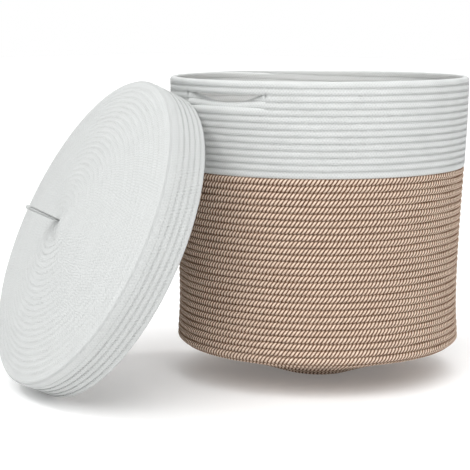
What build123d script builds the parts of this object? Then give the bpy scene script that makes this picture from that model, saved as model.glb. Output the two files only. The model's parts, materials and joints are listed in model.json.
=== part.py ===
from build123d import *
from math import asin, cos, degrees, radians, sin, sqrt
import os

# Laundry hamper of coiled, seam-stitched rope, with a lift-off coiled lid that leans on its wall.
# Millimetres. +Z is up. The origin is the middle of the patch that the basket rests on, and the
# two handle openings face -Y and +Y.

# ---- driving dimensions -------------------------------------------------------------------
RIM_RADIUS = 200.0          # outside of the top row
WAIST_RADIUS = 189.0        # outside of the wall at its narrowest
FOOT_RADIUS = 192.0         # outside of the lowest row, which turns the heel
WAIST_HEIGHT = 60.0         # height of the narrowest place above the underside of the lowest row
BELLY = 47.0                # how far the domed base hangs below the underside of the lowest row
BELLY_BOW = 2.0             # how much the belly's slope bows in between the heel and the patch
REST_RADIUS = 48.0          # patch of the base that the floor presses flat
HEEL_BEND = 4.5             # radius at which the rows turn from the wall into the base
HEEL_TURN = 72.0            # degrees of that turn

BROWN_ROPE = 8.7            # pitch of the twisted brown rope's rows
WHITE_ROPE = 8.5            # pitch of the braided white rope's rows
LID_ROPE = 8.0              # pitch of the lid's rows
BROWN_ROWS = 26             # brown wall rows above the heel row
WHITE_ROWS = 12             # white rows below the handle openings
GRIP_ROWS = 2               # rows above the handle openings, which the hand holds

OPENING_LENGTH = 128.0      # handle opening, along the wall
OPENING_DROP = 12.0         # how far the rows under the opening sag in its middle
TACK_HEIGHT = 10.0          # bar tacks at the ends of each opening
TACK_WIDTH = 2.4
TACK_THICKNESS = 1.0

LID_RADIUS = 209.5          # outside of the lid's skirt
LID_RISE = 34.5             # crown of the lid above its corner row
LID_SKIRT_ROWS = 5          # rows below the corner row
LID_CORNER_BEND = 4.2       # radius at which the lid's rows turn down into the skirt
LID_TILT = 64.0             # lean of the lid's axis from upright, degrees
LID_HEADING = -112.4        # compass angle that the lid's top faces, degrees from +X
LID_BEARING = -117.0        # compass angle from the basket's axis to the lid's middle
LID_REACH = 334.5           # level distance from the basket's axis to the lid's middle

TAB_LENGTH = 44.0           # pull tab of folded webbing, standing on the lid's crown
TAB_WIDTH = 15.0
TAB_ROOT = 4.6              # thickness of the tab's two layers at the root
TAB_FOLD = 5.8              # and at the rounded fold
TAIL_LENGTH = 22.0          # each tail of the webbing, sewn flat under the crown
TAIL_THICKNESS = 2.0
STITCH_BOX = 10.0           # square of stitches that holds the tails

THREAD = 0.6                # radius of a seam thread
THREAD_GAP = 0.35           # free space between a seam thread and the rows beside it
BODY_GAP = 0.3              # free space between bodies that touch
TRIM_GAP = 0.1              # free space between trim and the coil that it is sewn to

# A rope row is eight-sided. As shares of its pitch: half of one flat, and the run of a corner.
FLAT = (sqrt(2) - 1) / 2
CORNER = 0.5 - FLAT

# ---- worked-out places --------------------------------------------------------------------
brown_foot = BELLY + BROWN_ROPE
brown_top = brown_foot + BROWN_ROWS * BROWN_ROPE
grip_foot = brown_top + WHITE_ROWS * WHITE_ROPE
rim_top = grip_foot + GRIP_ROWS * WHITE_ROPE

tilt, heading, bearing = radians(LID_TILT), radians(LID_HEADING), radians(LID_BEARING)
skirt_depth = LID_SKIRT_ROWS * LID_ROPE
lid_axis = Vector(sin(tilt) * cos(heading), sin(tilt) * sin(heading), cos(tilt))
lid_uphill = Vector(-cos(tilt) * cos(heading), -cos(tilt) * sin(heading), sin(tilt))
lid_side = lid_uphill.cross(lid_axis)
# The lowest point of the skirt stands on the floor.
lid_height = ((LID_ROPE + skirt_depth - CORNER * LID_ROPE) * cos(tilt)
              + LID_RADIUS * sin(tilt) + TRIM_GAP)
lid_middle = Vector(LID_REACH * cos(bearing), LID_REACH * sin(bearing), lid_height)
# Section plane of the lid: X runs up the lean, Y along the lid's axis, 0 at the corner row's top.
lid_section = Plane(origin=lid_middle, x_dir=lid_uphill, z_dir=lid_side)
lid_centre_line = Axis(origin=lid_middle, direction=lid_axis)


def wall_radius(height):
    """Outside radius of the wall: a slight waist above the heel, then a smooth flare to the rim."""
    above = height - BELLY
    if above < WAIST_HEIGHT:
        return WAIST_RADIUS + (FOOT_RADIUS - WAIST_RADIUS) * (1 - above / WAIST_HEIGHT) ** 2
    share = (above - WAIST_HEIGHT) / (rim_top - BELLY - WAIST_HEIGHT)
    return WAIST_RADIUS + (RIM_RADIUS - WAIST_RADIUS) * share * share * (3 - 2 * share)


def on_wall(foot, rope):
    """Places on a stretch of wall, by height above its foot and distance out from mid-rope."""
    return lambda run, out: (wall_radius(foot + run) - rope / 2 + out, foot + run)


def on_line(line):
    """Places beside a line, by length along it and distance to its left."""
    def place(run, out):
        point = line.position_at(run, position_mode=PositionMode.LENGTH)
        way = line.tangent_at(run, position_mode=PositionMode.LENGTH)
        return (max(point.X - out * way.Y, 0), point.Y + out * way.X)
    return place


def row_outline(place, rope, count):
    """Outline of rope rows pressed side by side, each an eight-sided section."""
    stations = [(k + share, half) for k in range(count)
                for share, half in ((0, FLAT), (CORNER, 0.5), (1 - CORNER, 0.5))]
    stations.append((count, FLAT))
    outside = [place(step * rope, half * rope) for step, half in stations]
    inside = [place(step * rope, -half * rope) for step, half in stations]
    return outside + inside[::-1]


def seam_places(place, rope, seams, side):
    """Thread centres in the grooves between rows, outside (side = 1) or inside (side = -1)."""
    out = side * (FLAT * rope + (THREAD + THREAD_GAP) * sqrt(2))
    return [place(seam * rope, out) for seam in seams]


# ---- basket: one brown coil and one white coil, sewn row to row ---------------------------
heel_radius = wall_radius(brown_foot) - BROWN_ROPE / 2
heel_height = BELLY + BROWN_ROPE / 2
with BuildLine() as belly_line:
    Line((heel_radius, brown_foot), (heel_radius, heel_height))
    heel = CenterArc((heel_radius - HEEL_BEND, heel_height), HEEL_BEND, 0, -HEEL_TURN)
    SagittaArc(heel @ 1, (REST_RADIUS, BROWN_ROPE / 2), -BELLY_BOW)
    Line((REST_RADIUS, BROWN_ROPE / 2), (0, BROWN_ROPE / 2))
belly = belly_line.wires()[0]
base_rows = round(belly.length / BROWN_ROPE)
base_pitch = belly.length / base_rows

with BuildPart() as base_coil:
    with BuildSketch(Plane.XZ):
        with BuildLine():
            Polyline(*row_outline(on_line(belly), base_pitch, base_rows), close=True)
        make_face()
        Rectangle(REST_RADIUS, BROWN_ROPE / 2, align=(Align.MIN, Align.MIN))
    revolve(axis=Axis.Z)

with BuildPart() as base_seam_thread:
    with BuildSketch(Plane.XZ):
        with Locations(*seam_places(on_line(belly), base_pitch, range(2, base_rows), -1)):
            RegularPolygon(THREAD, 4)
    revolve(axis=Axis.Z)

with BuildPart() as lower_wall_coil:
    with BuildSketch(Plane.XZ):
        with BuildLine():
            Polyline(*row_outline(on_wall(brown_foot, BROWN_ROPE), BROWN_ROPE, BROWN_ROWS),
                     close=True)
        make_face()
    revolve(axis=Axis.Z)

with BuildPart() as lower_wall_seam_thread:
    with BuildSketch(Plane.XZ):
        with Locations(*seam_places(on_wall(brown_foot, BROWN_ROPE), BROWN_ROPE,
                                    range(BROWN_ROWS + 1), 1)):
            RegularPolygon(THREAD, 4)
    revolve(axis=Axis.Z)

with BuildSketch(Plane.XZ) as opening:
    with BuildLine():
        Line((-OPENING_LENGTH / 2, grip_foot), (OPENING_LENGTH / 2, grip_foot))
        ThreePointArc((OPENING_LENGTH / 2, grip_foot), (0, grip_foot - OPENING_DROP),
                      (-OPENING_LENGTH / 2, grip_foot))
    make_face()

with BuildPart() as upper_wall_coil:
    with BuildSketch(Plane.XZ):
        with BuildLine():
            Polyline(*row_outline(on_wall(brown_top, WHITE_ROPE), WHITE_ROPE, WHITE_ROWS),
                     close=True)
        make_face()
    revolve(axis=Axis.Z)
    extrude(opening.sketch, amount=RIM_RADIUS + WHITE_ROPE, both=True, mode=Mode.SUBTRACT)

with BuildPart() as upper_wall_seam_thread:
    with BuildSketch(Plane.XZ):
        with Locations(*seam_places(on_wall(brown_top, WHITE_ROPE), WHITE_ROPE,
                                    range(1, WHITE_ROWS), 1)):
            RegularPolygon(THREAD, 4)
    revolve(axis=Axis.Z)
    extrude(opening.sketch, amount=RIM_RADIUS + WHITE_ROPE, both=True, mode=Mode.SUBTRACT)

with BuildPart() as grip_coil:
    with BuildSketch(Plane.XZ):
        with BuildLine():
            Polyline(*row_outline(on_wall(grip_foot, WHITE_ROPE), WHITE_ROPE, GRIP_ROWS),
                     close=True)
        make_face()
    revolve(axis=Axis.Z)

with BuildPart() as grip_seam_thread:
    with BuildSketch(Plane.XZ):
        with Locations(*seam_places(on_wall(grip_foot, WHITE_ROPE), WHITE_ROPE,
                                    range(1, GRIP_ROWS), 1)):
            RegularPolygon(THREAD, 4)
    revolve(axis=Axis.Z)

with BuildPart() as handle_bar_tacks:
    reach = RIM_RADIUS + TRIM_GAP + TACK_THICKNESS / 2
    swing = degrees(asin((OPENING_LENGTH + TACK_WIDTH) / 2 / RIM_RADIUS))
    for turn in (90 - swing, 90 + swing, 270 - swing, 270 + swing):
        spot = (reach * cos(radians(turn)), reach * sin(radians(turn)), grip_foot)
        with Locations(Location(spot, (0, 0, turn))):
            Box(TACK_THICKNESS, TACK_WIDTH, TACK_HEIGHT)

# ---- lid: a domed coil that turns down into a skirt ---------------------------------------
bend_radius = LID_RADIUS - LID_ROPE / 2 - LID_CORNER_BEND
dome_radius = ((LID_RISE ** 2 + bend_radius ** 2 - LID_CORNER_BEND ** 2)
               / (2 * (LID_RISE - LID_CORNER_BEND)))
dome_slope = degrees(asin(bend_radius / (dome_radius - LID_CORNER_BEND)))
with BuildLine() as lid_line:
    CenterArc((0, LID_RISE - LID_ROPE / 2 - dome_radius), dome_radius, 90, -dome_slope)
    bend = CenterArc((bend_radius, -LID_ROPE / 2), LID_CORNER_BEND, 90 - dome_slope,
                     dome_slope - 90)
    Line(bend @ 1, (LID_RADIUS - LID_ROPE / 2, -LID_ROPE))
dome = lid_line.wires()[0]
dome_rows = round(dome.length / LID_ROPE)
dome_pitch = dome.length / dome_rows


def on_skirt(run, out):
    """Places on the skirt, by depth below the corner row and distance out from mid-rope."""
    return (LID_RADIUS - LID_ROPE / 2 + out, -LID_ROPE - run)


with BuildPart() as lid_top_coil:
    with BuildSketch(lid_section):
        with BuildLine():
            Polyline(*row_outline(on_line(dome), dome_pitch, dome_rows), close=True)
        make_face()
    revolve(axis=lid_centre_line)

with BuildPart() as lid_top_seam_thread:
    with BuildSketch(lid_section):
        with Locations(*seam_places(on_line(dome), dome_pitch, range(2, dome_rows), 1)):
            RegularPolygon(THREAD, 4)
    revolve(axis=lid_centre_line)

with BuildPart() as lid_skirt_coil:
    with BuildSketch(lid_section):
        with BuildLine():
            Polyline(*row_outline(on_skirt, LID_ROPE, LID_SKIRT_ROWS), close=True)
        make_face()
    revolve(axis=lid_centre_line)

with BuildPart() as lid_skirt_seam_thread:
    with BuildSketch(lid_section):
        with Locations(*seam_places(on_skirt, LID_ROPE, range(LID_SKIRT_ROWS), 1)):
            RegularPolygon(THREAD, 4)
    revolve(axis=lid_centre_line)

# The pull tab is one folded strip of webbing; its two tails are sewn flat inside the crown.
with BuildPart() as lid_pull_tab:
    with BuildSketch(lid_section):
        with Locations((0, LID_RISE + BODY_GAP + TAB_ROOT / 2)):
            Circle(TAB_ROOT / 2)
        with Locations((0, LID_RISE + TAB_LENGTH - TAB_FOLD / 2)):
            Circle(TAB_FOLD / 2)
        make_hull()
    extrude(amount=TAB_WIDTH / 2, both=True)

# The crown's curve falls away under the flat tails, so they sit a little below it.
tail_level = LID_RISE - LID_ROPE - TAIL_THICKNESS / 2 - TAIL_LENGTH ** 2 / dome_radius
with BuildPart() as tab_tails:
    with BuildSketch(lid_section):
        with Locations((0, tail_level)):
            Rectangle(2 * TAIL_LENGTH, TAIL_THICKNESS)
    extrude(amount=TAB_WIDTH / 2, both=True)

with BuildPart() as tab_stitching:
    stitch_level = tail_level - TAIL_THICKNESS / 2 - TRIM_GAP
    with BuildSketch(Plane(origin=lid_middle + lid_axis * stitch_level, x_dir=lid_uphill,
                           z_dir=-lid_axis)):
        Rectangle(STITCH_BOX, STITCH_BOX)
        Rectangle(STITCH_BOX - 4 * THREAD, STITCH_BOX - 4 * THREAD, mode=Mode.SUBTRACT)
    extrude(amount=THREAD)

# ---- files --------------------------------------------------------------------------------
pieces = {
    "base_coil": base_coil,
    "base_seam_thread": base_seam_thread,
    "lower_wall_coil": lower_wall_coil,
    "lower_wall_seam_thread": lower_wall_seam_thread,
    "upper_wall_coil": upper_wall_coil,
    "upper_wall_seam_thread": upper_wall_seam_thread,
    "grip_coil": grip_coil,
    "grip_seam_thread": grip_seam_thread,
    "handle_bar_tacks": handle_bar_tacks,
    "lid_top_coil": lid_top_coil,
    "lid_top_seam_thread": lid_top_seam_thread,
    "lid_skirt_coil": lid_skirt_coil,
    "lid_skirt_seam_thread": lid_skirt_seam_thread,
    "lid_pull_tab": lid_pull_tab,
    "tab_tails": tab_tails,
    "tab_stitching": tab_stitching,
}
os.makedirs("parts", exist_ok=True)
for name, piece in pieces.items():
    piece.part.label = name
    export_step(piece.part, f"parts/{name}.step")
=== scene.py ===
import json
from math import cos, pi, radians, sin, sqrt

import bpy
import numpy as np
from mathutils import Matrix, Vector


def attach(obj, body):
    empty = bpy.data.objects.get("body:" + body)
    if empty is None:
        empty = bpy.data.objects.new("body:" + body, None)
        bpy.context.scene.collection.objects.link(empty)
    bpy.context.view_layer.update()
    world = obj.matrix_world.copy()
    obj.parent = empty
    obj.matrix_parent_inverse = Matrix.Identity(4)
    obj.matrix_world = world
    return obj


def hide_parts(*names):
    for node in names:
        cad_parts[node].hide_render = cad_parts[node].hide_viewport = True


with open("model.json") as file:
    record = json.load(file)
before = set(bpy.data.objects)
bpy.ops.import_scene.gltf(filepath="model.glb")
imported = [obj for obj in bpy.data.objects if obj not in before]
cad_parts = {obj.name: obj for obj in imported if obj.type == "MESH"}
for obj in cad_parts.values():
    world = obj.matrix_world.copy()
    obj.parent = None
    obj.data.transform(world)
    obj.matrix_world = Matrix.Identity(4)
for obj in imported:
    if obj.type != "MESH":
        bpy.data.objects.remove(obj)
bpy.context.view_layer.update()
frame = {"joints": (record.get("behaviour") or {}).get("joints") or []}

# Looks of a coiled-rope laundry hamper and its coiled lid, in metres, in the CAD frame.
# Every row of rope is a real turn of one coil, which follows the centre line of the CAD's rings.

# ---- dimensions, as in the CAD source -------------------------------------------------------
RIM_RADIUS = 0.200
WAIST_RADIUS = 0.189
FOOT_RADIUS = 0.192
WAIST_HEIGHT = 0.060
BELLY = 0.047
BELLY_BOW = 0.002
REST_RADIUS = 0.048
HEEL_BEND = 0.0045
HEEL_TURN = radians(72)
BROWN_ROPE = 0.0087
WHITE_ROPE = 0.0085
LID_ROPE = 0.0080
BROWN_ROWS = 26
WHITE_ROWS = 12
GRIP_ROWS = 2
OPENING_LENGTH = 0.128
LID_RADIUS = 0.2095
LID_RISE = 0.0345
LID_SKIRT_ROWS = 5
LID_CORNER_BEND = 0.0042
TAB_LENGTH = 0.044
TAB_WIDTH = 0.015
TAIL_LENGTH = 0.022
TAIL_THICKNESS = 0.002

# ---- looks ------------------------------------------------------------------------------------
ROPE_LAY = 0.0149               # one full twist of the brown rope
STRANDS = 6                     # cream and brown in turn
CREAM_SHARE = 0.58              # of each pair of strands, how much is cream
VALLEY, BULGE = 0.80, 0.25      # shares of half a rope: out to a valley, and on to a strand's top
BROWN_PRESS = 0.14              # how far the brown rows push into each other
LID_FACE = dict(square=3.6, press=0.80)     # section of the lid's rope on its top
LID_SKIRT = dict(square=2.8, press=0.55)    # and on its skirt
INSIDE = 1.3                    # how much squarer a rope's section is on the inside of a coil
SHIFT_MIDDLE = radians(150)     # where each row climbs to the next, away from the openings
SHIFT_TURNS = 0.2               # how much of a turn that climb takes
STEADY_ROWS = 4                 # rows round a coil's middle that climb steadily
COIL_START = 0.03               # turns left out at a coil's middle, where the rope's end is hidden
BROWN_STEP = 0.0017             # along the brown rope, from one ring of mesh points to the next
BRAID_STEP = 0.0030             # the same on the lid's rope and the grip
WHITE_STEP = 0.0037             # and on the white rows below the openings
STITCH_STEP = 0.0024            # along a seam, from one side of the zigzag to the other
INNER_STITCH_STEP = 0.0036      # the same on the inside of the brown coil
THREAD = 0.0004                 # radius of a seam thread
TACK_TALL, TACK_WIDE = 0.0070, 0.0020       # a bar tack, which has so many passes of thread
TACK_PASSES = 13
STRIP = 0.0020                  # thickness of the webbing
TAB_HINGE = 0.0026              # height of the tab's hinge above the lid's crown

brown_foot = BELLY + BROWN_ROPE
brown_top = brown_foot + BROWN_ROWS * BROWN_ROPE
grip_foot = brown_top + WHITE_ROWS * WHITE_ROPE
rim_top = grip_foot + GRIP_ROWS * WHITE_ROPE

# ---- the lid's own axes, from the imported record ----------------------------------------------
joints = {j["name"]: j for j in frame["joints"]}
lid_axis = Vector(joints["lid_lift"]["axis"]).normalized()
lid_side = Vector(joints["tab_bend"]["axis"]).normalized()
lid_uphill = lid_axis.cross(lid_side).normalized()
lid_middle = Vector(joints["tab_bend"]["pos_m"]) - lid_axis * (LID_RISE + TAB_HINGE)
lid_place = Matrix((
    (lid_uphill.x, -lid_side.x, lid_axis.x, lid_middle.x),
    (lid_uphill.y, -lid_side.y, lid_axis.y, lid_middle.y),
    (lid_uphill.z, -lid_side.z, lid_axis.z, lid_middle.z),
    (0, 0, 0, 1)))


def wall_radius(height):
    """Outside radius of the wall: a slight waist above the heel, then a smooth flare."""
    above = np.asarray(height, float) - BELLY
    low = np.clip(1 - above / WAIST_HEIGHT, 0, None)
    share = np.clip((above - WAIST_HEIGHT) / (rim_top - BELLY - WAIST_HEIGHT), 0, 1.03)
    return (WAIST_RADIUS + (FOOT_RADIUS - WAIST_RADIUS) * low ** 2
            + (RIM_RADIUS - WAIST_RADIUS) * share * share * (3 - 2 * share))


def length_along(points):
    """Length along a line of points, at each of them."""
    steps = np.linalg.norm(np.diff(points, axis=0), axis=1)
    return np.concatenate([[0], np.cumsum(steps)])


def unit(vectors):
    return vectors / np.linalg.norm(vectors, axis=1)[:, None]


class Profile:
    """A rope's centre line in section, by length along it. side is 1 where the outside of the
    coil is to the right of the line, and -1 where it is to the left."""

    def __init__(self, points, side):
        points = np.array(points, float)
        apart = np.linalg.norm(np.diff(points, axis=0), axis=1) > 1e-9
        self.points = points[np.concatenate([[True], apart])]
        self.run = length_along(self.points)
        self.length = self.run[-1]
        self.ways = unit(np.gradient(self.points, self.run, axis=0))
        self.side = side

    def at(self, run):
        """Radius and height, the way along the line and the way outwards, at a run along it."""
        r = np.interp(run, self.run, self.points[:, 0])
        z = np.interp(run, self.run, self.points[:, 1])
        wr = np.interp(run, self.run, self.ways[:, 0])
        wz = np.interp(run, self.run, self.ways[:, 1])
        size = np.hypot(wr, wz)
        wr, wz = wr / size, wz / size
        beyond = np.clip(run - self.length, 0, None) + np.clip(run, None, 0)
        return r + beyond * wr, z + beyond * wz, wr, wz, wz * self.side, -wr * self.side


def arc(centre, radius, start, sweep, count):
    turns = np.linspace(start, start + sweep, count)
    return [(centre[0] + radius * cos(t), centre[1] + radius * sin(t)) for t in turns]


# ---- centre lines in section ------------------------------------------------------------------
heel_radius = float(wall_radius(brown_foot)) - BROWN_ROPE / 2
heel_height = BELLY + BROWN_ROPE / 2
heel = arc((heel_radius - HEEL_BEND, heel_height), HEEL_BEND, 0, -HEEL_TURN, 12)
low, high = (REST_RADIUS, BROWN_ROPE / 2), heel[-1]
chord = sqrt((high[0] - low[0]) ** 2 + (high[1] - low[1]) ** 2)
shares = np.linspace(0, 1, 40)
bow = 4 * BELLY_BOW * shares * (1 - shares)
belly = [(low[0] + (high[0] - low[0]) * s - b * (high[1] - low[1]) / chord,
          low[1] + (high[1] - low[1]) * s + b * (high[0] - low[0]) / chord)
         for s, b in zip(shares, bow)]
base_line = Profile([(0, BROWN_ROPE / 2)] + belly + heel[::-1]
                    + [(heel_radius, brown_foot)], 1)
base_rows = round(base_line.length / BROWN_ROPE)
base_pitch = base_line.length / base_rows

wall_heights = np.linspace(brown_foot, rim_top, 160)
wall_line = Profile(np.stack([wall_radius(wall_heights) - BROWN_ROPE / 2, wall_heights], 1), 1)

bend_radius = LID_RADIUS - LID_ROPE / 2 - LID_CORNER_BEND
dome_radius = ((LID_RISE ** 2 + bend_radius ** 2 - LID_CORNER_BEND ** 2)
               / (2 * (LID_RISE - LID_CORNER_BEND)))
dome_slope = np.arcsin(bend_radius / (dome_radius - LID_CORNER_BEND))
dome_points = arc((0, LID_RISE - LID_ROPE / 2 - dome_radius), dome_radius, pi / 2, -dome_slope, 60)
dome_points += arc((bend_radius, -LID_ROPE / 2), LID_CORNER_BEND, pi / 2 - dome_slope,
                   dome_slope - pi / 2, 12)
dome_points += [(LID_RADIUS - LID_ROPE / 2, -LID_ROPE)]
dome_line = Profile(dome_points, -1)
dome_rows = round(dome_line.length / LID_ROPE)
dome_pitch = dome_line.length / dome_rows
skirt_line = Profile([(LID_RADIUS - LID_ROPE / 2, -LID_ROPE),
                      (LID_RADIUS - LID_ROPE / 2, -LID_ROPE * (1 + LID_SKIRT_ROWS))], -1)


def smooth(share):
    share = np.clip(share, 0, 1)
    return share * share * (3 - 2 * share)


def climbed(turns, middle):
    """How much of the climb that has its middle after some turns is done: from 0 to 1."""
    return smooth((turns - middle) / SHIFT_TURNS + 0.5)


def rows_at(turns, steady=0):
    """Rows climbed after some turns: steadily in the first few rows round a middle, and further
    out only in a short stretch of each turn, so that the rows lie level everywhere else."""
    near = np.round(turns)
    stepped = near - 0.5 + climbed(turns, near)
    blend = smooth((turns - steady) / 3) if steady else 1
    return turns + (stepped - turns) * blend


def angle_at(turns):
    return 2 * pi * turns + SHIFT_MIDDLE


def closing(turns, last):
    """The rope's end: it thins over the last climb, as the row beneath rises to take its place.
    Returns how much of its thickness is left, and the rows climbed there."""
    left = 1 - climbed(turns, last)
    rows = np.where(left < 1, last - left / 2, rows_at(turns))
    return np.clip(left, 0.03, 1), rows


def roll_in(x_along):
    """How far the rows under a handle opening roll inwards: 1 in its middle, easing to 0 at its
    ends."""
    share = np.clip(1 - (x_along / (OPENING_LENGTH / 2)) ** 2, 0, 1)
    return 1.12 * share ** 2 / (share + 0.12)


def surface_points(line, pitch, rows_along, angle):
    """Centres and frames of a rope row on a surface of revolution round Z."""
    r, z, wr, wz, nr, nz = line.at(rows_along * pitch)
    c, s = np.cos(angle), np.sin(angle)
    centre = np.stack([r * c, r * s, z], 1)
    out = np.stack([nr * c, nr * s, nz], 1)
    along = np.stack([wr * c, wr * s, wz], 1)
    return centre, out, along


def new_mesh(name, co, faces, uv, slots=None):
    """A mesh from arrays of points and four-sided faces, with UVs per face corner."""
    me = bpy.data.meshes.new(name)
    me.vertices.add(len(co))
    me.vertices.foreach_set("co", np.ascontiguousarray(co, np.float32).ravel())
    me.loops.add(faces.size)
    me.loops.foreach_set("vertex_index", np.ascontiguousarray(faces, np.int32).ravel())
    me.polygons.add(len(faces))
    me.polygons.foreach_set("loop_start", np.arange(0, faces.size, faces.shape[1], dtype=np.int32))
    me.update(calc_edges=True)
    if slots is not None:
        me.polygons.foreach_set("material_index", np.ascontiguousarray(slots, np.int32))
    me.polygons.foreach_set("use_smooth", np.full(len(faces), True))
    layer = me.uv_layers.new(name="rope")
    layer.uv.foreach_set("vector", np.ascontiguousarray(uv, np.float32).ravel())
    me.validate()
    ob = bpy.data.objects.new(name, me)
    bpy.context.scene.collection.objects.link(ob)
    return ob


def tube_faces(count, columns):
    """Four-sided faces between rings of points, each ring closed on itself."""
    i = np.arange(count - 1)[:, None]
    j = np.arange(columns)[None, :]
    k = (j + 1) % columns
    return np.stack([i * columns + j, i * columns + k, (i + 1) * columns + k,
                     (i + 1) * columns + j], -1).reshape(-1, 4)


def tube_uv(u, v, v_next):
    """UVs of those faces' corners: u along the tube, and v round it up to v_next."""
    uv = np.empty((len(u) - 1, len(v), 4, 2))
    uv[..., 0, 0] = uv[..., 1, 0] = u[:-1, None]
    uv[..., 2, 0] = uv[..., 3, 0] = u[1:, None]
    uv[..., 0, 1] = uv[..., 3, 1] = v[None, :]
    uv[..., 1, 1] = uv[..., 2, 1] = v_next[None, :]
    return uv.reshape(-1, 2)


def tube(name, rings, u, v, materials, slot_of_column=None):
    """A closed-round tube through rings of points [ring, column]. u runs along it and v round
    it, in metres, and each column of faces may have its own material slot."""
    count, columns = rings.shape[:2]
    v_next = np.concatenate([v[1:], [v[0] + (v[1] - v[0]) * columns]])
    slots = None
    if slot_of_column is not None:
        slots = np.broadcast_to(np.asarray(slot_of_column)[None, :], (count - 1, columns)).ravel()
    ob = new_mesh(name, rings.reshape(-1, 3), tube_faces(count, columns),
                  tube_uv(u, v, v_next), slots)
    for m in materials:
        ob.data.materials.append(m)
    return ob


def thread_rings(centre, out, across, columns, radius=THREAD):
    """Rings of points round a thread."""
    base = (np.arange(columns) + 0.5) * 2 * pi / columns
    return (centre[:, None, :] + out[:, None, :] * (np.cos(base) * radius)[None, :, None]
            + across[:, None, :] * (np.sin(base) * radius)[None, :, None])


def unevenness(u, seed, size):
    """A slow, seeded wander along a rope, as a hand-guided coil has."""
    rng = np.random.default_rng(seed)
    waves = rng.uniform(4, 40, 6)
    phases = rng.uniform(0, 2 * pi, 6)
    total = sum(np.sin(w * u + p) for w, p in zip(waves, phases))
    return size * total / 3


# ---- materials --------------------------------------------------------------------------------
def feed(tree, n, *values):
    """Numbers or other nodes' outputs into a node's sockets. Returns the node's own output."""
    for socket, value in zip(n.inputs, values):
        if isinstance(value, (int, float)):
            socket.default_value = value
        else:
            tree.links.new(value, socket)
    return n.outputs[0]


def maths(tree, operation, *values):
    n = tree.nodes.new("ShaderNodeMath")
    n.operation = operation
    return feed(tree, n, *values)


def colour_ramp(tree, factor, low, high, start=0.0, end=1.0):
    n = tree.nodes.new("ShaderNodeValToRGB")
    n.color_ramp.elements[0].color = (*low, 1)
    n.color_ramp.elements[1].color = (*high, 1)
    n.color_ramp.elements[0].position = start
    n.color_ramp.elements[1].position = end
    tree.links.new(factor, n.inputs[0])
    return n.outputs[0]


def rope_coordinates(tree):
    """The rope's own coordinates: metres along it and metres round it."""
    uv = tree.nodes.new("ShaderNodeUVMap")
    uv.uv_map = "rope"
    split = tree.nodes.new("ShaderNodeSeparateXYZ")
    tree.links.new(uv.outputs[0], split.inputs[0])
    return split.outputs[0], split.outputs[1]


def new_material(name, roughness, sheen):
    mat = bpy.data.materials.new(name)
    mat.use_nodes = True
    shader = mat.node_tree.nodes["Principled BSDF"]
    shader.inputs["Roughness"].default_value = roughness
    shader.inputs["Sheen Weight"].default_value = sheen
    shader.inputs["Sheen Roughness"].default_value = 0.5
    shader.inputs["Specular IOR Level"].default_value = 0.15
    return mat, mat.node_tree, shader


def noise(tree, vector, scale, detail=2.0, rough=0.5):
    n = tree.nodes.new("ShaderNodeTexNoise")
    n.inputs["Scale"].default_value = scale
    n.inputs["Detail"].default_value = detail
    n.inputs["Roughness"].default_value = rough
    tree.links.new(vector, n.inputs["Vector"])
    return n.outputs["Fac"]


def rope_noise(tree, u, v, along, round_it, detail=2.0, rough=0.5):
    """Noise in the rope's own coordinates, with so many features a metre along and round it."""
    place = feed(tree, tree.nodes.new("ShaderNodeCombineXYZ"),
                 maths(tree, "MULTIPLY", u, along), maths(tree, "MULTIPLY", v, round_it))
    return noise(tree, place, 1.0, detail, rough)


def bump(tree, shader, height, distance, strength=1.0):
    n = tree.nodes.new("ShaderNodeBump")
    n.inputs["Strength"].default_value = strength
    n.inputs["Distance"].default_value = distance
    tree.links.new(height, n.inputs["Height"])
    tree.links.new(n.outputs[0], shader.inputs["Normal"])


def fibre_material(name, dark, light, roughness=0.9, sheen=0.03):
    """Spun cotton: fine fibres that run along the strand, with a slow change of shade."""
    mat, tree, shader = new_material(name, roughness, sheen)
    u, v = rope_coordinates(tree)
    fibres = rope_noise(tree, u, v, 260.0, 2600.0, 3.0, 0.6)
    patches = rope_noise(tree, u, v, 22.0, 60.0)
    mix = maths(tree, "ADD", maths(tree, "MULTIPLY", fibres, 0.6),
                maths(tree, "MULTIPLY", patches, 0.4))
    tree.links.new(colour_ramp(tree, mix, dark, light, 0.3, 0.72), shader.inputs["Base Color"])
    tree.links.new(colour_ramp(tree, fibres, (roughness - 0.1,) * 3, (roughness + 0.1,) * 3),
                   shader.inputs["Roughness"])
    bump(tree, shader, fibres, 0.00025)
    return mat


def braid_material(name, dark, light, roughness=0.9, sheen=0.06, plait=0.004):
    """Braided cotton: two families of plaits that cross round the rope, softened by fuzz."""
    mat, tree, shader = new_material(name, roughness, sheen)
    u, v = rope_coordinates(tree)
    drift = rope_noise(tree, u, v, 90.0, 200.0, 1.0)
    moved = maths(tree, "ADD", v, maths(tree, "MULTIPLY", drift, 0.0016))
    families = [maths(tree, "SINE", maths(tree, "MULTIPLY", maths(tree, way, u, moved),
                                          2 * pi / plait)) for way in ("ADD", "SUBTRACT")]
    plaits = maths(tree, "MAXIMUM", *families)
    level = maths(tree, "MULTIPLY", maths(tree, "ADD", plaits, 1.0), 0.5)
    fuzz = rope_noise(tree, u, v, 620.0, 900.0, 4.0, 0.7)
    patches = rope_noise(tree, u, v, 30.0, 80.0)
    shade = maths(tree, "ADD", maths(tree, "MULTIPLY", level, 0.22),
                  maths(tree, "ADD", maths(tree, "MULTIPLY", fuzz, 0.5),
                        maths(tree, "MULTIPLY", patches, 0.28)))
    tree.links.new(colour_ramp(tree, shade, dark, light, 0.28, 0.70), shader.inputs["Base Color"])
    tree.links.new(colour_ramp(tree, fuzz, (roughness - 0.08,) * 3, (roughness + 0.08,) * 3),
                   shader.inputs["Roughness"])
    height = maths(tree, "ADD", maths(tree, "MULTIPLY", level, 0.6),
                   maths(tree, "MULTIPLY", fuzz, 0.7))
    bump(tree, shader, height, 0.0005)
    return mat


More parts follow.
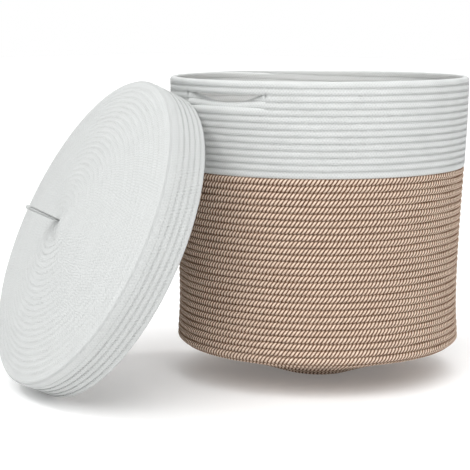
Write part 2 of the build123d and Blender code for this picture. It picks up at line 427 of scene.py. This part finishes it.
def webbing_material(name, dark, light):
    """Plain-woven cotton webbing, with its ribs along the strip."""
    mat, tree, shader = new_material(name, 0.85, 0.25)
    u, v = rope_coordinates(tree)
    rib_width, pick_width = 0.0012, 0.0016
    rib = maths(tree, "SINE", maths(tree, "MULTIPLY", v, 2 * pi / rib_width))
    pick = maths(tree, "SINE", maths(tree, "MULTIPLY", u, 2 * pi / pick_width))
    crossed = maths(tree, "ADD", maths(tree, "MULTIPLY", rib, pick), 1.0)
    weave = maths(tree, "MULTIPLY", crossed, 0.5)
    fuzz = rope_noise(tree, u, v, 1400.0, 1400.0)
    shade = maths(tree, "ADD", maths(tree, "MULTIPLY", weave, 0.6),
                  maths(tree, "MULTIPLY", fuzz, 0.4))
    tree.links.new(colour_ramp(tree, shade, dark, light, 0.15, 0.8), shader.inputs["Base Color"])
    bump(tree, shader, shade, 0.0003)
    return mat


cream_strand = fibre_material("cream_strand", (0.71, 0.545, 0.425), (0.88, 0.74, 0.615))
brown_strand = fibre_material("brown_strand", (0.105, 0.049, 0.026), (0.225, 0.115, 0.068))
white_braid = braid_material("white_braid", (0.49, 0.502, 0.495), (0.65, 0.662, 0.655))
lid_braid = braid_material("lid_braid", (0.515, 0.527, 0.521), (0.598, 0.61, 0.604))
tan_thread = fibre_material("tan_thread", (0.20, 0.11, 0.065), (0.36, 0.23, 0.15))
white_thread = fibre_material("white_thread", (0.52, 0.531, 0.525), (0.645, 0.656, 0.65))
webbing = webbing_material("webbing", (0.38, 0.391, 0.384), (0.52, 0.531, 0.524))


# ---- ropes -------------------------------------------------------------------------------------
def twisted_rope(name, line, pitch, start, stop, steady=0, lays=None):
    """A strand-laid rope along a coil: its columns of faces turn with the strands. With lays, a
    turn of the coil has that many twists, so the strands of neighbouring rows line up."""
    turns = ring_turns(line, pitch, start, stop, BROWN_STEP)
    centre, out, along = surface_points(line, pitch, rows_at(turns, steady), angle_at(turns))
    u = length_along(centre)
    pairs, half = STRANDS // 2, 3       # half: columns of faces in one strand
    cream = np.linspace(0, CREAM_SHARE, half + 1)[:-1]
    brown = np.linspace(CREAM_SHARE, 1, half + 1)[:-1]
    shares = np.concatenate([cream, brown])
    base = np.concatenate([(p + shares) * 2 * pi / pairs for p in range(pairs)])
    bulge = np.concatenate([np.sin(np.arange(half) / half * pi)] * STRANDS)
    twists = u / ROPE_LAY if lays is None else turns * lays
    twists = twists + unevenness(u, hash_of(name) + 1, 0.05)
    turn = base[None, :] + 2 * pi * twists[:, None]
    size = 1 + unevenness(u, hash_of(name), 0.008)
    across = BROWN_ROPE / 2 * size[:, None] * (VALLEY + BULGE * bulge[None, :])
    rings = (centre[:, None, :]
             + out[:, None, :] * (np.cos(turn) * across)[..., None]
             + along[:, None, :] * (np.sin(turn) * across * (1 + BROWN_PRESS))[..., None])
    colours = ([0] * half + [1] * half) * pairs
    return tube(name, rings, u, base * BROWN_ROPE / 2, [cream_strand, brown_strand], colours)


def hash_of(name):
    """A steady number from a name, to seed its unevenness."""
    return sum((i + 1) * ord(c) for i, c in enumerate(name)) % 9973


def ring_turns(line, pitch, start, stop, step):
    """Turns from start to stop, spaced about a step of rope apart."""
    dense = np.linspace(start, stop, 4000)
    r = np.clip(line.at(dense * pitch)[0], pitch / 2, None)
    length = np.concatenate([[0], np.cumsum(2 * pi * (r[1:] + r[:-1]) / 2 * np.diff(dense))])
    count = max(int(length[-1] / step), 8)
    return np.interp(np.linspace(0, length[-1], count + 1), length, dense)


def braided_section(square, press):
    """A rounded-square section as pairs of outward and sideways shares of half a rope. Its points
    crowd where the rope shows, and its corners hide inside the neighbouring rows."""
    sideways = np.array([-1.14, -0.97, -0.70, -0.35, 0, 0.35, 0.70, 0.97, 1.14]) / (1 + press)
    inner = square + INSIDE
    outward = (1 - np.abs(sideways) ** square) ** (1 / square)
    inward = -(1 - np.abs(sideways) ** inner) ** (1 / inner)
    cap = np.array([0.5, 0, -0.5])
    bend = np.where(cap < 0, inner, square)
    flank = (1 - np.abs(cap) ** bend) ** (1 / bend)
    return (np.concatenate([outward, cap, inward, -cap]),
            np.concatenate([sideways, flank, -sideways, -flank[::-1]]))


def braided_rope(name, centre, out, along, rope, material, square=2.0, press=0.32,
                 thick=1.0, squeeze=1.0, free=0.0, free_below=0.0):
    """A braided rope with a rounded-square section. press is how far its flanks push into its
    neighbours: the further, the shallower the grooves. Where it is free, it has no row beyond
    it, or below it, so that flank is round."""
    u = length_along(centre)
    c, s = braided_section(square, press)
    around = np.hypot(np.diff(c, append=c[0]), np.diff(s, append=s[0]))
    v = np.concatenate([[0], np.cumsum(around)[:-1]]) * rope / 2
    half = rope / 2 * (1 + unevenness(u, hash_of(name), 0.006))[:, None]
    thick, squeeze, free, free_below = (np.broadcast_to(share, u.shape) for share in
                                        (thick, squeeze, free, free_below))
    push = 1 + press * (1 - np.where(s[None, :] > 0, free[:, None], free_below[:, None]))
    outward = c[None, :] * half * np.sqrt(thick)[:, None]
    sideways = s[None, :] * half * push * (thick * squeeze)[:, None]
    rings = (centre[:, None, :] + out[:, None, :] * outward[..., None]
             + along[:, None, :] * sideways[..., None])
    return tube(name, rings, u, v, [material])


def stitches(name, line, pitch, seams, side, rope, material, reach=0.24, lift=0.0,
             square=2.0, press=0.32, steady=0, step=STITCH_STEP, keep=None):
    """Zigzag seams across the grooves of a coil, one thread per turn, all in one mesh."""
    threads = []
    flank = (1 - 2 * reach) / (1 + press)
    if side < 0 and rope != BROWN_ROPE:
        square += INSIDE
    height = side * (rope * 0.5 * (1 - flank ** square) ** (1 / square) + lift)
    for seam in seams:
        turns = ring_turns(line, pitch, seam, seam + 1, step)
        angle = angle_at(turns)
        swing = np.where(np.arange(len(turns)) % 2 == 0, reach, -reach)
        centre, out, _ = surface_points(line, pitch, rows_at(turns, steady) + 0.5 + swing, angle)
        centre = centre + out * height
        across = unit(np.cross(out, unit(np.gradient(centre, axis=0))))
        rings = thread_rings(centre, out, across, 4)
        shown = np.ones(len(turns), bool) if keep is None else keep(angle, seam)
        breaks = np.flatnonzero(np.diff(shown.astype(int))) + 1
        threads += [part for part, on in zip(np.split(rings, breaks),
                                             np.split(shown, breaks)) if on[0] and len(on) > 2]
    return rings_mesh(name, threads, material)


def rings_mesh(name, tubes, material):
    """Several thin tubes in one mesh."""
    co, faces, uv, offset = [], [], [], 0
    for rings in tubes:
        count, columns = rings.shape[:2]
        v = np.arange(columns + 1) * THREAD * pi / 2
        co.append(rings.reshape(-1, 3))
        faces.append(tube_faces(count, columns) + offset)
        uv.append(tube_uv(length_along(rings.mean(1)), v[:-1], v[1:]))
        offset += count * columns
    ob = new_mesh(name, np.concatenate(co), np.concatenate(faces), np.concatenate(uv))
    ob.data.materials.append(material)
    return ob


def settle(ob, body, nodes=(), place=None):
    """Puts a piece on its body and the CAD nodes that it stands for."""
    if place is not None:
        ob.data.transform(place)
    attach(ob, body)
    if nodes:
        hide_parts(*nodes)


# ---- basket: the brown coil --------------------------------------------------------------------
wall_parts = 4
wall_lays = round(2 * pi * (WAIST_RADIUS - BROWN_ROPE / 2) / ROPE_LAY)
base_cuts = [COIL_START, base_rows * 0.72, base_rows]
for part, first, last in zip((1, 2), base_cuts, base_cuts[1:]):
    settle(twisted_rope(f"base_rope_{part}", base_line, base_pitch, first, last,
                        steady=STEADY_ROWS),
           "basket", ["base_coil"] if part == 1 else [])
for part in range(wall_parts):
    first, last = BROWN_ROWS * part / wall_parts, BROWN_ROWS * (part + 1) / wall_parts
    settle(twisted_rope(f"lower_wall_rope_{part + 1}", wall_line, BROWN_ROPE, first, last,
                        lays=wall_lays),
           "basket", ["lower_wall_coil"] if part == 0 else [])
brown_seam = dict(side=1, rope=BROWN_ROPE, material=tan_thread, press=BROWN_PRESS, reach=0.15,
                  lift=-0.0005)
settle(stitches("base_seam", base_line, base_pitch, range(1, base_rows), steady=STEADY_ROWS,
                **brown_seam), "basket", ["base_seam_thread"])
settle(stitches("lower_wall_seam", wall_line, BROWN_ROPE, range(BROWN_ROWS), **brown_seam),
       "basket", ["lower_wall_seam_thread"])

# ---- basket: the white coil --------------------------------------------------------------------
white_heights = np.linspace(brown_top, rim_top, 80)
white_line = Profile(np.stack([wall_radius(white_heights) - WHITE_ROPE / 2, white_heights], 1), 1)


def by_opening(angle):
    """Whether a place is on the front or back quarter of the wall, where a handle opening is,
    and how far along it from its middle."""
    return np.abs(np.sin(angle)) > 0.7, (RIM_RADIUS - WHITE_ROPE / 2) * np.cos(angle)


def white_rows():
    """Centres of the white rows. Under an opening the top row rolls in over the next one, and
    that one over the third, so the opening gapes in its middle. Also returns how much of a
    row's thickness is left there, and how free its top is."""
    turns = ring_turns(white_line, WHITE_ROPE, 0, WHITE_ROWS, WHITE_STEP)
    angle = angle_at(turns)
    rows = rows_at(turns)
    centre, out, along = surface_points(white_line, WHITE_ROPE, rows, angle)
    near, x_along = by_opening(angle)
    share = np.where(near, roll_in(x_along), 0)
    below = np.where(rows < WHITE_ROWS, WHITE_ROWS - rows, WHITE_ROWS)
    gap = WHITE_ROPE * (1 - 0.10 * share)
    lean_two, lean_one = radians(44) * share, radians(92) * share
    top_two, top_one = below < 2, below < 1
    inward = gap * (top_two * np.sin(lean_two) + top_one * np.sin(lean_one))
    drop = (top_two * (WHITE_ROPE - gap * np.cos(lean_two))
            + top_one * (WHITE_ROPE - gap * np.cos(lean_one)))
    shift = np.stack([inward * np.cos(angle), inward * np.sin(angle), drop], 1)
    return centre - shift, out, along, 1 - 0.08 * share * top_two, share * top_one


centre, out, along, squeeze, free = white_rows()
settle(braided_rope("upper_wall_rope", centre, out, along, WHITE_ROPE, white_braid,
                    squeeze=squeeze, free=np.minimum(4 * free, 1)),
       "basket", ["upper_wall_coil"])
whole_rows = WHITE_ROWS + GRIP_ROWS
turns = ring_turns(white_line, WHITE_ROPE, WHITE_ROWS, whole_rows + SHIFT_TURNS / 2, BRAID_STEP)
thick, rows = closing(turns, whole_rows)
angle = angle_at(turns)
centre, out, along = surface_points(white_line, WHITE_ROPE, rows, angle)
near, x_along = by_opening(angle)
over_opening = np.where(near & (rows < WHITE_ROWS + 0.9), np.minimum(4 * roll_in(x_along), 1), 0)
settle(braided_rope("grip_rope", centre, out, along, WHITE_ROPE, white_braid, thick=thick,
                    free=climbed(turns, whole_rows - 1), free_below=over_opening),
       "basket", ["grip_coil"])


def away_from_opening(angle, seam):
    """Whether a seam is sewn there: the top seams stop at the openings."""
    near, x_along = by_opening(angle)
    inside = near & (np.abs(x_along) < OPENING_LENGTH / 2 - 0.002)
    return ~inside | (seam < WHITE_ROWS - 3)


for name, side, replaced in (("", 1, [["upper_wall_seam_thread"], ["grip_seam_thread"]]),
                             ("_inner", -1, [[], []])):
    settle(stitches("upper_wall_seam" + name, white_line, WHITE_ROPE, range(WHITE_ROWS), side,
                    WHITE_ROPE, white_thread, keep=away_from_opening),
           "basket", replaced[0])
    settle(stitches("grip_seam" + name, white_line, WHITE_ROPE, [WHITE_ROWS], side, WHITE_ROPE,
                    white_thread), "basket", replaced[1])

inner_seam = dict(side=-1, rope=BROWN_ROPE, material=tan_thread, press=BROWN_PRESS,
                  step=INNER_STITCH_STEP)
settle(stitches("lower_wall_seam_inner", wall_line, BROWN_ROPE, range(BROWN_ROWS), **inner_seam),
       "basket")
settle(stitches("base_seam_inner", base_line, base_pitch, range(1, base_rows),
                steady=STEADY_ROWS, **inner_seam), "basket")


def bar_tack(turn, reach):
    """A dense zigzag of thread that ends an opening, over the two rows that it ties."""
    steps = np.arange(2 * TACK_PASSES)
    height = grip_foot + TACK_TALL * (steps / (2 * TACK_PASSES - 1) - 0.5)
    swing = np.where(steps % 2 == 0, 0.5, -0.5) * TACK_WIDE / reach
    groove_depth, groove_reach = 0.0011, 0.0016
    r = reach - np.exp(-((height - grip_foot) / groove_reach) ** 2) * groove_depth
    centre = np.stack([r * np.cos(turn + swing), r * np.sin(turn + swing), height], 1)
    out = np.stack([np.cos(turn + swing), np.sin(turn + swing), 0 * height], 1)
    across = unit(np.cross(out, unit(np.gradient(centre, axis=0))))
    return thread_rings(centre, out, across, 6)


half_opening = np.arcsin((OPENING_LENGTH / 2 + 0.001) / RIM_RADIUS)
tack_reach = float(wall_radius(grip_foot)) - THREAD * 0.5
tacks = [bar_tack(t + sign * half_opening, tack_reach)
         for t in (pi / 2, -pi / 2) for sign in (-1, 1)]
settle(rings_mesh("handle_bar_tacks_thread", tacks, white_thread), "basket",
       ["handle_bar_tacks"])

# ---- lid -----------------------------------------------------------------------------------------
lid_cuts = [COIL_START, dome_rows * 0.7, dome_rows]
for part, first, last in zip((1, 2), lid_cuts, lid_cuts[1:]):
    turns = ring_turns(dome_line, dome_pitch, first, last, BRAID_STEP)
    centre, out, along = surface_points(dome_line, dome_pitch, rows_at(turns, STEADY_ROWS),
                                        angle_at(turns))
    settle(braided_rope(f"lid_top_rope_{part}", centre, out, along, dome_pitch, lid_braid,
                        **LID_FACE), "lid", ["lid_top_coil"] if part == 1 else [],
           lid_place)
turns = ring_turns(skirt_line, LID_ROPE, 0, LID_SKIRT_ROWS + SHIFT_TURNS / 2, BRAID_STEP)
thick, rows = closing(turns, LID_SKIRT_ROWS)
centre, out, along = surface_points(skirt_line, LID_ROPE, rows, angle_at(turns))
settle(braided_rope("lid_skirt_rope", centre, out, along, LID_ROPE, lid_braid, thick=thick,
                    free=climbed(turns, LID_SKIRT_ROWS - 1), **LID_SKIRT),
       "lid", ["lid_skirt_coil"], lid_place)
for name, side, nodes in (("", 1, ["lid_top_seam_thread"]), ("_inner", -1, [])):
    settle(stitches("lid_top_seam" + name, dome_line, dome_pitch, range(1, dome_rows), side,
                    dome_pitch, white_thread, steady=STEADY_ROWS, lift=-0.00015 * side,
                    **LID_FACE), "lid", nodes, lid_place)
for name, side, nodes in (("", 1, ["lid_skirt_seam_thread"]), ("_inner", -1, [])):
    settle(stitches("lid_skirt_seam" + name, skirt_line, LID_ROPE, range(LID_SKIRT_ROWS - 1), side,
                    LID_ROPE, white_thread, **LID_SKIRT), "lid", nodes, lid_place)


# ---- pull tab: one folded strip of webbing, its tails sewn flat inside the crown ----------------
def strip(name, path, width, thickness):
    """A woven strip along a path in the lid's own XZ plane, with rounded selvedges."""
    path = np.array(path, float)
    centre = np.stack([path[:, 0], 0 * path[:, 0], path[:, 1]], 1)
    wide = np.array([0.0, 1.0, 0.0])
    out = np.cross(unit(np.gradient(centre, axis=0)), wide)
    u = length_along(centre)
    columns, ribs, square, selvedge_step = 36, 14, 5, 0.0032
    base = np.arange(columns) * 2 * pi / columns
    c, t = np.cos(base), np.sin(base)
    grow = (np.abs(c) ** square + np.abs(t) ** square) ** (-1 / square)
    rib = 1 + 0.05 * np.cos(ribs * pi * c * grow)
    end = np.sqrt(np.clip(np.minimum(u, u[-1] - u) / (thickness * 0.6), 0, 1)) * 0.85 + 0.15
    edge = 1 + 0.012 * np.sin(u * 2 * pi / selvedge_step)
    rings = (centre[:, None, :]
             + wide[None, None, :] * (c * grow * width / 2)[None, :, None] * edge[:, None, None]
             + out[:, None, :] * (t * grow * rib * thickness / 2)[None, :, None]
             * end[:, None, None])
    start, stop = (np.broadcast_to(ring.mean(0), ring.shape)[None] for ring in rings[[0, -1]])
    rings = np.concatenate([start, rings, stop])
    u = np.concatenate([[u[0]], u, [u[-1]]])
    return tube(name, rings, u, base * width / pi, [webbing])


root, fold = 0.0013, 0.0019     # from the tab's middle plane to each layer's
top = LID_RISE + TAB_LENGTH - fold - STRIP / 2
bottom = LID_RISE + 0.0004
leg = np.linspace(0, 1, 36)
layer = [(-(root + (fold - root) * e), bottom + (top - bottom) * t)
         for t, e in zip(leg, smooth(leg))]
turned = [(-fold * cos(t), top + fold * sin(t)) for t in np.linspace(0, pi, 14)[1:-1]]
tab_path = layer + turned + [(-x, z) for x, z in layer[::-1]]
settle(strip("pull_tab_webbing", tab_path, TAB_WIDTH, STRIP), "pull_tab",
       ["lid_pull_tab"], lid_place)

tail_level = LID_RISE - LID_ROPE - TAIL_THICKNESS / 2 - TAIL_LENGTH ** 2 / dome_radius
tail_root, tail_rise, rise_reach = 0.0008, 0.0012, 0.003
for name, sign in (("tail_uphill", 1), ("tail_downhill", -1)):
    tail_path = [(sign * (tail_root + (TAIL_LENGTH - tail_root) * t),
                  tail_level + tail_rise * np.exp(-((t * TAIL_LENGTH) / rise_reach) ** 2))
                 for t in np.linspace(0, 1, 30)]
    settle(strip(name, tail_path, TAB_WIDTH, TAIL_THICKNESS * 0.95), "lid",
           ["tab_tails"] if sign > 0 else [], lid_place)


def stitch_line(start, end, level, count):
    """A straight run of lock stitches: short humps of thread, one after another."""
    hump = 0.00035
    t = np.linspace(0, 1, count * 6 + 1)
    x = start[0] + (end[0] - start[0]) * t
    y = start[1] + (end[1] - start[1]) * t
    z = level - hump * np.abs(np.sin(t * count * pi)) ** 0.5
    centre = np.stack([x, y, z], 1)
    way = unit(np.gradient(centre, axis=0))
    out = np.cross(way, np.cross(np.array([0, 0, 1.0])[None, :], way))
    return thread_rings(centre, out, np.cross(way, out), 6, THREAD * 0.8)


sewn = tail_level - TAIL_THICKNESS / 2 + 0.0001
box = 0.005     # half the side of the square of stitches
corners = [(-box, -box), (box, -box), (box, box), (-box, box)]
runs = [stitch_line(corners[i], corners[(i + 1) % 4], sewn, 4) for i in range(4)]
runs += [stitch_line(corners[i], corners[i + 2], sewn, 6) for i in range(2)]
settle(rings_mesh("tab_box_stitching", runs, white_thread), "lid",
       ["tab_stitching"], lid_place)

# ---- lights, floor and camera -------------------------------------------------------------------
floor_mat, tree, shader = new_material("pale_floor", 0.9, 0.0)
floor_noise = noise(tree, tree.nodes.new("ShaderNodeTexCoord").outputs["Object"], 3.0)
tree.links.new(colour_ramp(tree, floor_noise, (0.88,) * 3, (0.91,) * 3),
               shader.inputs["Base Color"])
shader.inputs["Emission Color"].default_value = (1.0, 1.0, 1.0, 1)
shader.inputs["Emission Strength"].default_value = 0.14
bpy.ops.mesh.primitive_plane_add(size=24, location=(0, 0, -0.0004))
floor = bpy.context.object
floor.name = "floor"
floor.data.materials.append(floor_mat)

world = bpy.data.worlds.new("studio")
bpy.context.scene.world = world
world.use_nodes = True
tree = world.node_tree
# The backdrop that the camera sees is white. What lights the object is softer, and from above.
backdrop = tree.nodes["Background"]
backdrop.inputs["Color"].default_value = (1.0, 1.0, 1.0, 1)
ambient = tree.nodes.new("ShaderNodeBackground")
ambient.inputs["Color"].default_value = (0.985, 0.995, 1.0, 1)
above = tree.nodes.new("ShaderNodeSeparateXYZ")
tree.links.new(tree.nodes.new("ShaderNodeTexCoord").outputs["Generated"], above.inputs[0])
overhead = maths(tree, "MULTIPLY", maths(tree, "MAXIMUM", above.outputs[2], 0.0), 0.36)
tree.links.new(maths(tree, "ADD", overhead, 0.20), ambient.inputs["Strength"])
seen, either = tree.nodes.new("ShaderNodeLightPath"), tree.nodes.new("ShaderNodeMixShader")
tree.links.new(seen.outputs["Is Camera Ray"], either.inputs[0])
tree.links.new(ambient.outputs[0], either.inputs[1])
tree.links.new(backdrop.outputs[0], either.inputs[2])
tree.links.new(either.outputs[0], tree.nodes["World Output"].inputs["Surface"])


def heading(azimuth, elevation):
    """The level direction at an azimuth, raised by an elevation, both in degrees."""
    turn, rise = radians(azimuth), radians(elevation)
    return Vector((cos(turn) * cos(rise), sin(turn) * cos(rise), sin(rise)))


def add_light(name, kind, energy, travel, place=(0, 0, 0)):
    """A light that shines the way that travel points. Returns its data, for its size."""
    light = bpy.data.lights.new(name, kind)
    light.energy = energy
    ob = bpy.data.objects.new(name, light)
    ob.location = place
    ob.rotation_euler = travel.to_track_quat("-Z", "Y").to_euler()
    bpy.context.scene.collection.objects.link(ob)
    return light


add_light("key", "SUN", 0.62, Vector((0.415, 0.409, -0.813))).angle = radians(9)
for name, azimuth, elevation, energy in (("front_fill", -60, 52, 2.25),
                                         ("right_fill", -15, 40, 0.4),
                                         ("back_fill", 120, 40, 0.75)):
    add_light(name, "SUN", energy, -heading(azimuth, elevation)).angle = radians(60)
# A soft spot over the near rim reaches the inside of the far wall, which the fills leave grey.
far_wall, spot_from, spot_distance = Vector((-0.13, 0.11, 0.38)), heading(-36, 36), 1.6
spot = add_light("inside_spot", "SPOT", 42, -spot_from, far_wall + spot_from * spot_distance)
spot.shadow_soft_size = 0.15
spot.spot_size, spot.spot_blend = radians(20), 1.0

camera = bpy.data.cameras.new("camera")
camera.lens, camera.sensor_width = 112.8, 36
eye = bpy.data.objects.new("camera", camera)
eye.location = (1.2274, -1.5710, 0.4791)
eye.rotation_euler = heading(131.248, -8.44).to_track_quat("-Z", "Y").to_euler()
bpy.context.scene.collection.objects.link(eye)
bpy.context.scene.camera = eye
bpy.context.scene.view_settings.view_transform = "Standard"
